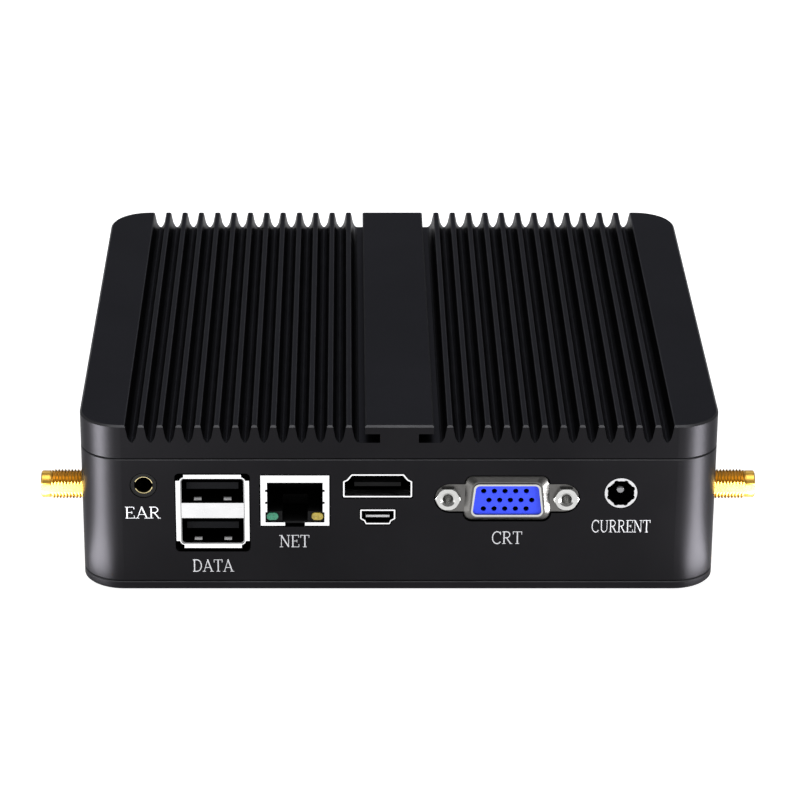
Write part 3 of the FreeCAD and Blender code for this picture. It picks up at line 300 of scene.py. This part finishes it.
def rubber(graph, colour):
    """Matt rubber with specks of dust."""
    fine = graph.noise(0.18, 4)
    dust = graph.spread(graph.noise(2.5, 4), 0, 1, 0.45, 0.75)
    graph.set(
        Base_Color=graph.blend(dust, colour, [c * 2.2 for c in colour]),
        Roughness=graph.spread(fine, 0.7, 0.92),
        Specular_IOR_Level=0.35,
    )
    graph.bump(fine, 0.02)


TRACK_SPAN = 6 * MM
TRACK_REPEATS = 3.0          # units of the brick pattern in that span
TRACK_EDGE = 0.03            # of such a unit, what a track takes along each side of a brick


def circuit_board(graph, colour):
    """Solder mask over copper: tracks as a fine broken grid, slightly raised, with a satin gloss."""
    mapping = graph.node("ShaderNodeMapping")
    graph.feed(graph.place, mapping.inputs["Vector"])
    graph.feed([1 / TRACK_SPAN] * 3, mapping.inputs["Scale"])
    graph.feed((0, 0, math.radians(45)), mapping.inputs["Rotation"])
    bricks = graph.node("ShaderNodeTexBrick")
    graph.feed(mapping.outputs["Vector"], bricks.inputs["Vector"])
    graph.feed(TRACK_REPEATS, bricks.inputs["Scale"])
    graph.feed(TRACK_EDGE, bricks.inputs["Mortar Size"])
    tracks = bricks.outputs["Fac"]
    graph.set(
        Base_Color=graph.blend(tracks, colour, [c * 1.7 + 0.01 for c in colour]),
        Roughness=graph.spread(graph.noise(0.5), 0.28, 0.42),
    )
    graph.bump(tracks, 0.03)


def printed_ink(graph):
    """Screen-printed ink with a dry, slightly uneven surface."""
    fine = graph.noise(0.09, 3)
    graph.set(
        Base_Color=graph.tones(INK_WHITE, 0.4, spread=0.08),
        Roughness=graph.spread(fine, 0.5, 0.7),
        Specular_IOR_Level=0.2,
    )
    graph.bump(fine, 0.006)


# One maker for each finish. Most are named after the record's material slots. After its colour, a
# metal or plastic has its roughness and, where it isn't the usual one, its grain in millimetres.
# Where shade is given, shade is painted into the socket from its start to its end, in millimetres behind
# the face.
FINISHES = {
    "anodised_black": anodised,
    "anodised_frame": anodised,
    "anodised_plate": anodised,
    "rubber_black": lambda g: rubber(g, (0.016, 0.016, 0.017)),
    "screw_black": lambda g: metal(g, (0.06, 0.06, 0.065), 0.38),
    "nickel": lambda g: metal(g, (0.52, 0.52, 0.51), 0.22, 0.3),
    "dark_nickel": lambda g: metal(g, (0.125, 0.122, 0.118), 0.36, 0.9),
    "tinned_shell": lambda g: metal(g, SILVER, 0.30, 0.35, ALONG_X, shade=(0.25, 0.6)),
    "video_metal": lambda g: metal(g, SILVER, 0.30, 0.35, ALONG_X, shade=(0.1, 3.5)),
    "rear_usb_metal": lambda g: usb_metal(g, "rear_usb_shell"),
    "front_usb_metal": lambda g: usb_metal(g, "front_usb_shell"),
    "inlet_ring": lambda g: metal(g, (0.62, 0.62, 0.63), 0.34, 0.3, shade=(0.2, 0.45)),
    "inlet_pin": lambda g: metal(g, (0.25, 0.25, 0.26), 0.2, 0.3, shade=(1.7, 3.0)),
    "gold_plate": lambda g: metal(g, GOLD, 0.33, 0.3, ROUND_X),
    "gold_ring": lambda g: metal(g, (0.80, 0.68, 0.36), 0.3, 0.3, shade=(0.5, 1.0)),
    # gold contacts in sockets: the gold darkened as painted shade, with more painted shade deeper in
    "gold_in_painted_shade": lambda g: metal(g, (0.10, 0.07, 0.02), 0.4, 0.3, shade=(0.5, 2.0)),
    "connector_black": lambda g: plastic(g, (0.006, 0.006, 0.0065), 0.6, specular=0.12, shade=(0.7, 2.5)),
    "usb_tongue": lambda g: plastic(g, (0.0045, 0.0047, 0.0058), 0.6, specular=0.08),
    # the tongue's light grey front edge is a painted highlight, with painted shade behind it
    "micro_tongue": lambda g: plastic(g, (0.55, 0.55, 0.56), 0.5, shade=(0.62, 0.72)),
    "connector_blue": lambda g: plastic(g, (0.035, 0.075, 0.95), 0.5, 0.3, specular=0.3, shade=(-0.3, 0.1)),
    "ptfe_white": lambda g: plastic(g, (0.80, 0.80, 0.77), 0.35, depth=0.002),
    "board_green": lambda g: circuit_board(g, (0.012, 0.07, 0.035)),
    "chip_black": lambda g: plastic(g, (0.02, 0.02, 0.021), 0.55, 0.08),
    "inductor_grey": lambda g: plastic(g, (0.10, 0.10, 0.105), 0.6, 0.2, 0.02),
    "capacitor_can": lambda g: metal(g, (0.72, 0.73, 0.75), 0.3, 0.6, ALONG_Z),
    "cell_steel": lambda g: metal(g, (0.75, 0.75, 0.74), 0.26, 0.5),
    "pad_grey": lambda g: rubber(g, (0.30, 0.33, 0.38)),
    "lead_grey": lambda g: rubber(g, (0.03, 0.03, 0.032)),
    "lamp_green": lambda g: lamp_plastic(g, (0.02, 0.26, 0.14)),
    "lamp_yellow": lambda g: lamp_plastic(g, (0.50, 0.38, 0.04)),
    "lamp_clear": lambda g: lamp_plastic(g, (0.62, 0.66, 0.70)),
    "button_black": lambda g: plastic(g, (0.014, 0.014, 0.015), 0.3, 0.2, 0.002),
    "label_ink": printed_ink,
}

# Nodes whose finish differs from the one named after their slot.
SPECIAL = {
    "rear_usb_shell": "rear_usb_metal",
    "front_usb_shell": "front_usb_metal",
    "video_shell": "video_metal",
    "usb_inserts": "usb_tongue",
    "usb_contacts": "gold_in_painted_shade",
    "network_contacts": "gold_in_painted_shade",
    "vga_contacts": "gold_in_painted_shade",
    "audio_jack_contacts": "gold_ring",
    "micro_video_tongue": "micro_tongue",
    "dc_jack_sleeve": "inlet_ring",
    "dc_jack_pin": "inlet_pin",
}


def make_material(finish):
    material = bpy.data.materials.new(f"{finish}_finish")
    FINISHES[finish](Graph(material))
    return material


def dress_nodes():
    for part in frame["record"]["subparts"]:
        materials = NODES[part["node"]].data.materials
        materials.clear()
        materials.append(MATERIALS[SPECIAL.get(part["node"], part["material_slot"])])


# ---------------------------------------------------------------- pieces added to the model

def new_piece(name, bm, finish, body="chassis"):
    """Turns a bmesh into a piece that rides on a body."""
    mesh = bpy.data.meshes.new(name)
    bm.normal_update()
    bm.to_mesh(mesh)
    bm.free()
    piece = bpy.data.objects.new(name, mesh)
    bpy.context.scene.collection.objects.link(piece)
    mesh.materials.append(MATERIALS[finish])
    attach(piece, body)
    return piece


# ---------------------------------------------------------------- aerial sockets

THREAD_PITCH = 25.4 / 36 * MM
THREAD_CREST_R = 3.175 * MM
THREAD_ROOT_R = 2.78 * MM
THREAD_FLAT = 0.12           # share of the thread's V cut off at its crests, and at its roots
THREAD_START = 0.2 * MM      # the thread's distance from the wall
SHARP_ANGLE = 38             # degrees, from which an edge is shaded as sharp
NECK_R = 3.0 * MM            # where the barrel passes through the wall
LEAD_IN_R = 2.9 * MM
LEAD_IN_LENGTH = 1.9 * MM
RIM_LONG, RIM_DEEP = 0.25 * MM, 0.22 * MM    # the chamfer outside the tip
LIP_LONG, LIP_DEEP = 0.12 * MM, 0.1 * MM     # the chamfer inside it
FLAT_AT = 2.62 * MM          # how far the flat side lies from the axis
AERIAL_BORE_R = 2.25 * MM
BORE_FLOOR = 3.0 * MM        # what is left between the bore and the inner end
REAR_BORE_R = 0.8 * MM
AROUND = 96
STEPS_PER_TURN = 8
RISE_STEPS = 3               # the steps in which the thread rises from its root


def thread_radius(turns):
    """Radius of a V thread with flat crests and roots, a number of turns along it."""
    wave = abs((turns % 1.0) * 2 - 1)
    rise = min(1.0, max(0.0, (wave - THREAD_FLAT) / (1 - 2 * THREAD_FLAT)))
    return THREAD_ROOT_R + (THREAD_CREST_R - THREAD_ROOT_R) * rise


def barrel_rings(inner, start, end, tip):
    """Distances from the middle of the case, each with a function from angle to radius."""
    def plain(radius):
        return lambda angle: radius

    def threaded(turns, fade):
        def radius(angle):
            full = thread_radius(turns + angle / math.tau)
            return THREAD_ROOT_R + fade * (full - THREAD_ROOT_R)

        return radius

    rings = [
        (inner + BORE_FLOOR, plain(AERIAL_BORE_R)),
        (inner + BORE_FLOOR, plain(REAR_BORE_R)),
        (inner, plain(REAR_BORE_R)),
        (inner, plain(NECK_R)),
        (start, plain(NECK_R)),
    ]
    steps = round((end - start) / THREAD_PITCH * STEPS_PER_TURN)
    for i in range(steps):
        fade = min(1.0, (i + 1) / RISE_STEPS, (steps - i) / STEPS_PER_TURN)
        rings.append((start + (end - start) * i / steps, threaded(i / STEPS_PER_TURN, fade)))
    rings += [
        (end, plain(LEAD_IN_R)),
        (tip - RIM_LONG, plain(LEAD_IN_R)),
        (tip, plain(LEAD_IN_R - RIM_DEEP)),
        (tip, plain(AERIAL_BORE_R + LIP_DEEP)),
        (tip - LIP_LONG, plain(AERIAL_BORE_R)),
    ]
    return rings


def aerial_barrel(node, side):
    """The barrel of an aerial socket with its helical thread, its flat side, a plain lead-in and a bore."""
    low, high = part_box(node)
    middle = (low + high) / 2
    inner, tip = sorted((abs(low.x), abs(high.x)))
    start = CASE_HIGH.x + THREAD_START
    bm = bmesh.new()
    loops = []
    for out, radius in barrel_rings(inner, start, tip - LEAD_IN_LENGTH, tip):
        loop = []
        for k in range(AROUND):
            angle = math.tau * k / AROUND
            y, z = radius(angle) * math.cos(angle), radius(angle) * math.sin(angle)
            if out > start:
                y = max(y, -FLAT_AT)
            loop.append(bm.verts.new((side * out, middle.y + y, middle.z + z)))
        loops.append(loop)
    for first, second in zip(loops, loops[1:] + loops[:1]):
        for k in range(AROUND):
            after = (k + 1) % AROUND
            bm.faces.new((first[k], first[after], second[after], second[k]))
    bmesh.ops.recalc_face_normals(bm, faces=bm.faces)
    piece = new_piece(f"{node}_threaded", bm, "gold_plate")
    piece.data.shade_smooth()
    piece.data.set_sharp_from_angle(angle=math.radians(SHARP_ANGLE))
    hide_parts(node)


# ---------------------------------------------------------------- printed words

THICK, THIN, SERIF = 0.095, 0.05, 0.045    # stroke widths, in the letters' own units
INK = 0.02 * MM              # how thick it is printed
INK_STEP = 0.1               # each stroke stands this share of the ink further out than the last


def arc(x, y, rx, ry, start, end, count=14):
    """Points along part of an ellipse, from one angle to another, in degrees."""
    angles = [math.radians(start + (end - start) * i / count) for i in range(count + 1)]
    return [(x + rx * math.cos(a), y + ry * math.sin(a)) for a in angles]


def serif(x, y, half=0.13):
    return ([(x - half, y), (x + half, y)], SERIF)


# Each letter is a width and a list of (points, stroke width), on a body one unit high.
LETTERS = {
    "A": (0.86, [([(0.12, 0.03), (0.42, 1.0)], THIN), ([(0.40, 1.0), (0.74, 0.03)], THICK),
                 ([(0.23, 0.34), (0.60, 0.34)], THIN), serif(0.12, 0.03), serif(0.74, 0.03, 0.15)]),
    "C": (0.80, [(arc(0.44, 0.5, 0.35, 0.48, 42, 180) + arc(0.44, 0.5, 0.35, 0.48, 192, 318), THIN * 1.6),
                 ([(0.70, 0.72), (0.70, 0.98)], SERIF)]),
    "D": (0.82, [([(0.17, 0.03), (0.17, 0.97)], THICK),
                 ([(0.05, 0.97)] + arc(0.36, 0.5, 0.36, 0.47, 90, -90) + [(0.05, 0.03)], THIN * 1.5)]),
    "E": (0.72, [([(0.17, 0.03), (0.17, 0.97)], THICK), ([(0.05, 0.97), (0.62, 0.97)], SERIF),
                 ([(0.17, 0.51), (0.48, 0.51)], SERIF), ([(0.05, 0.03), (0.64, 0.03)], SERIF),
                 ([(0.62, 0.99), (0.62, 0.78)], SERIF), ([(0.64, 0.01), (0.64, 0.25)], SERIF),
                 ([(0.48, 0.62), (0.48, 0.40)], SERIF)]),
    "N": (0.86, [([(0.14, 0.03), (0.14, 0.97)], THIN), ([(0.14, 0.97), (0.70, 0.03)], THICK),
                 ([(0.70, 0.97), (0.70, 0.02)], THIN), serif(0.10, 0.97), serif(0.14, 0.03),
                 serif(0.70, 0.97)]),
    "R": (0.80, [([(0.17, 0.03), (0.17, 0.97)], THICK), serif(0.17, 0.03, 0.14),
                 ([(0.05, 0.97)] + arc(0.38, 0.735, 0.22, 0.235, 90, -90) + [(0.17, 0.50)], THIN * 1.4),
                 ([(0.36, 0.50), (0.66, 0.03)], THICK * 0.9), serif(0.70, 0.03, 0.10)]),
    "T": (0.76, [([(0.38, 0.03), (0.38, 0.97)], THICK), ([(0.05, 0.97), (0.71, 0.97)], SERIF),
                 ([(0.06, 0.99), (0.06, 0.76)], SERIF), ([(0.70, 0.99), (0.70, 0.76)], SERIF),
                 serif(0.38, 0.03, 0.15)]),
    "U": (0.86, [([(0.17, 0.97), (0.17, 0.34)] + arc(0.43, 0.34, 0.26, 0.31, 180, 270), THICK * 0.95),
                 (arc(0.43, 0.34, 0.26, 0.31, 270, 360) + [(0.69, 0.97)], THIN),
                 serif(0.17, 0.97), serif(0.69, 0.97)]),
}


def add_stroke(bm, points, width, to_wall):
    """A flat ribbon of one width along the points, mitred where it turns."""
    sides = []
    for i, (x, y) in enumerate(points):
        before, after = points[max(i - 1, 0)], points[min(i + 1, len(points) - 1)]
        along = Vector((after[0] - before[0], after[1] - before[1])).normalized()
        across = Vector((-along.y, along.x)) * width / 2
        sides.append([bm.verts.new(to_wall(x + s * across.x, y + s * across.y)) for s in (-1, 1)])
    for (a, b), (c, d) in zip(sides, sides[1:]):
        bm.faces.new((a, b, d, c))


def printed_word(name, word, x, z, width, height):
    """White ink on the port wall, centred at (x, z) in millimetres."""
    wall_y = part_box("case_frame")[0].y
    stretch = width / sum(LETTERS[letter][0] for letter in word)
    bm = bmesh.new()
    start = 0.0
    for letter in word:
        advance, strokes = LETTERS[letter]
        for order, (points, stroke) in enumerate(strokes):
            lift = INK * (1 + INK_STEP * order)

            def to_wall(u, v, start=start, lift=lift):
                across = (x - width / 2 + (start + u) * stretch) * MM
                return (across, wall_y - lift, (z + (v - 0.5) * height) * MM)

            add_stroke(bm, points, stroke, to_wall)
        start += advance
    piece = new_piece(name, bm, "label_ink")
    thick = piece.modifiers.new("ink", "SOLIDIFY")
    thick.thickness = INK
    thick.offset = 0


# Piece, word, and then in millimetres where its middle is in X and Z, its width and its height.
LABELS = (
    ("label_audio", "EAR", -54.2, 19.9, 7.7, 2.75),
    ("label_usb", "DATA", -39.5, 7.4, 8.8, 2.9),
    ("label_network", "NET", -22.1, 13.2, 6.4, 2.9),
    ("label_monitor", "CRT", 22.9, 14.0, 6.6, 2.95),
    ("label_power", "CURRENT", 47.0, 16.7, 12.6, 2.9),
)


# ---------------------------------------------------------------- floor and light

FLOOR_HALF = 6.0             # half the length of a side
FLOOR_DROP = 0.05 * MM       # how far the floor lies below the feet
WORLD_STRENGTH = 0.24
CORNER_LIGHT_ANGLE = 61      # degrees from straight ahead
CORNER_MIDDLE = 9 * MM       # from each wall to the middle of a front corner's curve
LIGHT_HEIGHT = 0.5 * MM

# Name, place, size, radiance and colour.
SOFTBOXES = (
    ("overhead", (0, -0.25, 1.5), (1.4, 0.9), 3.0, (1, 1, 1)),
    ("behind", (0, 1.2, 0.95), (2.2, 0.8), 0.95, (0.82, 0.86, 1.0)),
)
# Name, then the reach, length and width in millimetres, and the radiance.
CORNER_LIGHTS = (
    ("near", 17, 58, 22, 34.0),
    ("far", 75, 95, 54, 46.0),
)
SIDES = {"left": -1, "right": 1}


def make_floor():
    bm = bmesh.new()
    bmesh.ops.create_grid(bm, x_segments=4, y_segments=4, size=FLOOR_HALF)
    mesh = bpy.data.meshes.new("floor")
    bm.to_mesh(mesh)
    bm.free()
    floor = bpy.data.objects.new("floor", mesh)
    floor.location.z = -FLOOR_DROP
    bpy.context.scene.collection.objects.link(floor)
    material = bpy.data.materials.new("floor_white")
    graph = Graph(material)
    graph.set(
        Base_Color=graph.tones((0.5, 0.5, 0.5), 300, 0.02),
        Roughness=0.9,
        Specular_IOR_Level=0.0,
        Emission_Color=(1.0, 1.0, 1.0),
        Emission_Strength=1.0,
    )
    mesh.materials.append(material)


def make_world():
    world = bpy.data.worlds.new("world")
    bpy.context.scene.world = world
    world.use_nodes = True
    background = world.node_tree.nodes["Background"]
    background.inputs["Color"].default_value = (1, 1, 1, 1)
    background.inputs["Strength"].default_value = WORLD_STRENGTH


def area_light(name, place, turn, size, radiance, colour):
    data = bpy.data.lights.new(name, "AREA")
    data.color = colour
    data.shape = "RECTANGLE"
    data.size, data.size_y = size
    data.energy = radiance * math.pi * size[0] * size[1]
    light = bpy.data.objects.new(name, data)
    light.location = place
    light.rotation_euler = turn
    bpy.context.scene.collection.objects.link(light)


def softbox(name, place, size, radiance, colour):
    """An area light aimed at the case."""
    turn = (-Vector(place)).to_track_quat("-Z", "Y").to_euler()
    area_light(name, place, turn, size, radiance, colour)


def corner_light(name, side, reach, length, width, radiance):
    """A light that lies on the floor beside a front corner of the case and shines up. It starts
    reach millimetres out from the middle of the corner's curve."""
    angle = side * math.radians(CORNER_LIGHT_ANGLE)
    out = Vector((math.sin(angle), -math.cos(angle), 0)) * (reach + length / 2) * MM
    middle = Vector((side * (CASE_HIGH.x - CORNER_MIDDLE), CASE_LOW.y + CORNER_MIDDLE, LIGHT_HEIGHT))
    area_light(name, middle + out, (math.pi, 0, angle), (width * MM, length * MM), radiance, (1, 1, 1))


# ---------------------------------------------------------------- build the scene


make_camera()
MATERIALS = {finish: make_material(finish) for finish in FINISHES}
dress_nodes()
for side_name, side in SIDES.items():
    aerial_barrel(f"aerial_jack_{side_name}", side)
for label in LABELS:
    printed_word(*label)

make_floor()
make_world()
for box in SOFTBOXES:
    softbox(*box)
for side_name, side in SIDES.items():
    for name, *measures in CORNER_LIGHTS:
        corner_light(f"{side_name}_{name}", side, *measures)
bpy.context.scene.view_settings.view_transform = "Standard"
